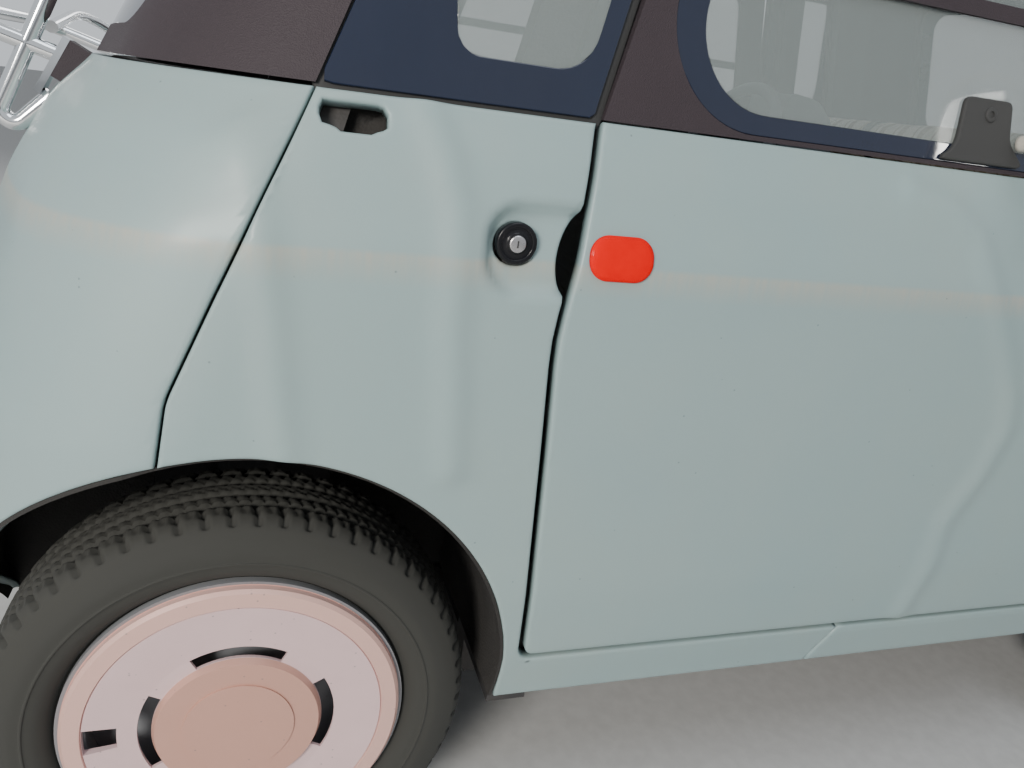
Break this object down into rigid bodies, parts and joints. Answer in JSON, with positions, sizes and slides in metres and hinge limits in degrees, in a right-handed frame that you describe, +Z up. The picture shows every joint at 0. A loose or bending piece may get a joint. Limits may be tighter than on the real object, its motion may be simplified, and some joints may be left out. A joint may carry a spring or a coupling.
{
  "type": "two-seat electric microcar",
  "caption": "Two-seat electric microcar with swinging side doors, steered front wheels, capped steel wheels and a small rear luggage rack.",
  "frame": {"origin": "on the ground, midway between the axles and on the centre plane", "axes": "+X forward, +Y to the driver's left, +Z up"},
  "size_m": [2.5306, 1.614, 1.53],
  "materials": {
    "body_paint": "satin",
    "dark_grain_plastic": "grained",
    "window_glass": "clear",
    "seal_rubber": "matte",
    "marker_red": "gloss",
    "mirror_housing": "satin",
    "lamp_lens": "clear",
    "frame_steel": "satin",
    "black_plastic": "matte",
    "battery_case": "matte",
    "motor_aluminium": "cast",
    "dash_plastic": "grained",
    "striped_fabric": "woven",
    "seat_fabric": "woven",
    "plate_white": "satin",
    "rack_chrome": "polished",
    "tyre_rubber": "dusty",
    "wheel_paint": "satin"
  },
  "bodies": {
    "body": {"battery_pack": "battery_case", "chassis_rails": "frame_steel", "dash_roll": "striped_fabric", "dashboard": "dash_plastic", "door_hinges": "dark_grain_plastic", "door_locks": "black_plastic", "drive_motor": "motor_aluminium", "fixed_windows": "window_glass", "floor_pan": "black_plastic", "front_end_panel": "body_paint", "front_subframe": "frame_steel", "front_window_surround": "dark_grain_plastic", "head_lamps": "lamp_lens", "luggage_rack": "rack_chrome", "number_plates": "plate_white", "rack_pads": "dark_grain_plastic", "rear_axle": "frame_steel", "rear_end_panel": "body_paint", "rear_window_surround": "dark_grain_plastic", "roof_glass": "window_glass", "roof_panel": "body_paint", "seats": "seat_fabric", "side_panel_front_left": "body_paint", "side_panel_front_right": "body_paint", "side_panel_rear_left": "body_paint", "side_panel_rear_right": "body_paint", "space_frame": "frame_steel", "steering_column": "frame_steel", "steering_rack": "frame_steel", "tail_lamps": "marker_red", "wheel_arch_liners": "dark_grain_plastic", "window_seals": "seal_rubber"},
    "door_right": {"door_right_skin": "body_paint", "door_right_lining": "dark_grain_plastic", "door_right_frame": "dark_grain_plastic", "door_right_glass": "window_glass", "door_right_marker": "marker_red", "door_right_mirror": "mirror_housing"},
    "knuckle_right": {"knuckle_right": "frame_steel"},
    "door_left": {"door_left_skin": "body_paint", "door_left_lining": "dark_grain_plastic", "door_left_frame": "dark_grain_plastic", "door_left_glass": "window_glass", "door_left_marker": "marker_red", "door_left_mirror": "mirror_housing"},
    "knuckle_left": {"knuckle_left": "frame_steel"},
    "steering_wheel": {"steering_wheel": "dash_plastic"},
    "wheel_front_right": {"tyre_front_right": "tyre_rubber", "wheel_front_right": "wheel_paint"},
    "wheel_front_left": {"tyre_front_left": "tyre_rubber", "wheel_front_left": "wheel_paint"},
    "wheel_rear_right": {"tyre_rear_right": "tyre_rubber", "wheel_rear_right": "wheel_paint"},
    "wheel_rear_left": {"tyre_rear_left": "tyre_rubber", "wheel_rear_left": "wheel_paint"}
  },
  "joints": [
    {"name": "steer_left", "type": "hinge", "parent": "body", "child": "knuckle_left", "pos_m": [0.865, 0.57, 0.2785], "axis": [0, 0, 1], "range_deg": [-30, 30]},
    {"name": "steer_right", "type": "hinge", "parent": "body", "child": "knuckle_right", "pos_m": [0.865, -0.57, 0.2785], "axis": [0, 0, 1], "range_deg": [-30, 30]},
    {"name": "steering_wheel_turn", "type": "hinge", "parent": "body", "child": "steering_wheel", "pos_m": [0.215, 0.305, 0.95], "axis": [-0.9397, 0, 0.342], "range_deg": [-425, 425]},
    {"name": "door_right_swing", "type": "hinge", "parent": "body", "child": "door_right", "pos_m": [0.553, -0.709, 0.65], "axis": [0, 0, 1], "range_deg": [0, 68]},
    {"name": "door_left_swing", "type": "hinge", "parent": "body", "child": "door_left", "pos_m": [-0.553, 0.709, 0.65], "axis": [0, 0, 1], "range_deg": [0, 68]},
    {"name": "roll_front_right", "type": "hinge", "parent": "knuckle_right", "child": "wheel_front_right", "pos_m": [0.865, -0.59, 0.2785], "axis": [0, 1, 0], "continuous": true},
    {"name": "roll_front_left", "type": "hinge", "parent": "knuckle_left", "child": "wheel_front_left", "pos_m": [0.865, 0.59, 0.2785], "axis": [0, 1, 0], "continuous": true},
    {"name": "roll_rear_right", "type": "hinge", "parent": "body", "child": "wheel_rear_right", "pos_m": [-0.865, -0.59, 0.2785], "axis": [0, 1, 0], "continuous": true},
    {"name": "roll_rear_left", "type": "hinge", "parent": "body", "child": "wheel_rear_left", "pos_m": [-0.865, 0.59, 0.2785], "axis": [0, 1, 0], "continuous": true}
  ],
  "couplings": [
    {"joint": "steer_right", "follows": "steer_left", "ratio": 1},
    {"joint": "steering_wheel_turn", "follows": "steer_left", "ratio": 14}
  ]
}
